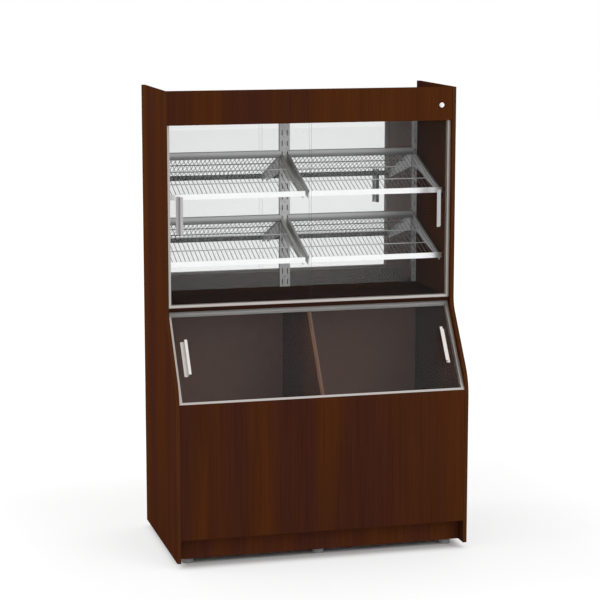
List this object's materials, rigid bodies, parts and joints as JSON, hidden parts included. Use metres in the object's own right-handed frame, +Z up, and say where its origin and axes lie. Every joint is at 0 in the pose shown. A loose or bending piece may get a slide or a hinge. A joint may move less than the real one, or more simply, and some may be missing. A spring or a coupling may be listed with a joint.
{
  "type": "bread display case",
  "caption": "Free-standing dark wood bakery case: mirrored wire-shelf display behind sliding glass doors above a storage bin with a sloping sliding glass front.",
  "frame": {"origin": "on the floor, under the middle of the case's bounding box", "axes": "+X to the right seen from the front, +Y to the mirror and the back, +Z up; the doors face -Y"},
  "size_m": [1.2, 0.666, 1.865],
  "materials": {
    "wood_board": "dark brown wood-grain laminate, satin",
    "back_board": "dark brown thin board, matt",
    "mirror": "silvered glass",
    "zinc_steel": "zinc plated, satin",
    "bracket_steel": "grey, satin",
    "shelf_wire": "bright plated wire with pale rails",
    "foot_plastic": "grey, matt",
    "aluminium": "natural anodised, satin",
    "door_glass": "clear float glass, polished edges",
    "glide_plastic": "dark grey, matt",
    "lamp_white": "white, satin",
    "lamp_diffuser": "opal white",
    "switch_white": "white, gloss",
    "cable_black": "black, matt"
  },
  "bodies": {
    "cabinet": {"back_mirror": "mirror", "base_panel": "wood_board", "bin_floor": "wood_board", "bin_partition": "wood_board", "cable_gland": "cable_black", "centre_upright": "zinc_steel", "corner_brackets": "zinc_steel", "corner_screws": "zinc_steel", "display_deck": "wood_board", "foot_pads": "foot_plastic", "foot_studs": "zinc_steel", "header_board": "wood_board", "lamp_diffuser": "lamp_diffuser", "lamp_housing": "lamp_white", "left_side_panel": "wood_board", "left_upright": "zinc_steel", "light_leads": "cable_black", "lower_back_panel": "back_board", "lower_bottom_track": "aluminium", "lower_centre_brackets": "bracket_steel", "lower_front_panel": "wood_board", "lower_left_bracket": "bracket_steel", "lower_left_jamb": "aluminium", "lower_left_shelf": "shelf_wire", "lower_right_bracket": "bracket_steel", "lower_right_jamb": "aluminium", "lower_right_shelf": "shelf_wire", "lower_top_track": "aluminium", "plinth_rail": "wood_board", "right_side_panel": "wood_board", "right_upright": "zinc_steel", "switch_body": "switch_white", "toe_kick": "wood_board", "top_panel": "wood_board", "track_wedge": "wood_board", "upper_back_panel": "back_board", "upper_bottom_track": "aluminium", "upper_centre_brackets": "bracket_steel", "upper_left_bracket": "bracket_steel", "upper_left_jamb": "aluminium", "upper_left_shelf": "shelf_wire", "upper_right_bracket": "bracket_steel", "upper_right_jamb": "aluminium", "upper_right_shelf": "shelf_wire", "upper_top_track": "aluminium", "upright_screws": "zinc_steel"},
    "lower_left_door": {"lower_left_glass": "door_glass", "lower_left_glides": "glide_plastic", "lower_left_handle": "aluminium"},
    "lower_right_door": {"lower_right_glass": "door_glass", "lower_right_glides": "glide_plastic", "lower_right_handle": "aluminium"},
    "light_button": {"switch_button": "switch_white"},
    "upper_left_door": {"upper_left_glass": "door_glass", "upper_left_glides": "glide_plastic", "upper_left_handle": "aluminium"},
    "upper_right_door": {"upper_right_glass": "door_glass", "upper_right_glides": "glide_plastic", "upper_right_handle": "aluminium"}
  },
  "joints": [
    {"name": "upper_left_door_slide", "type": "slide", "parent": "cabinet", "child": "upper_left_door", "axis": [1, 0, 0], "range_m": [0, 0.51]},
    {"name": "upper_right_door_slide", "type": "slide", "parent": "cabinet", "child": "upper_right_door", "axis": [1, 0, 0], "range_m": [-0.51, 0]},
    {"name": "lower_left_door_slide", "type": "slide", "parent": "cabinet", "child": "lower_left_door", "axis": [1, 0, 0], "range_m": [0, 0.51]},
    {"name": "lower_right_door_slide", "type": "slide", "parent": "cabinet", "child": "lower_right_door", "axis": [1, 0, 0], "range_m": [-0.51, 0]},
    {"name": "light_button_press", "type": "slide", "parent": "cabinet", "child": "light_button", "axis": [0, 1, 0], "range_m": [0, 0.0025], "stiffness_N_per_m": 400, "springref_m": -0.002}
  ]
}
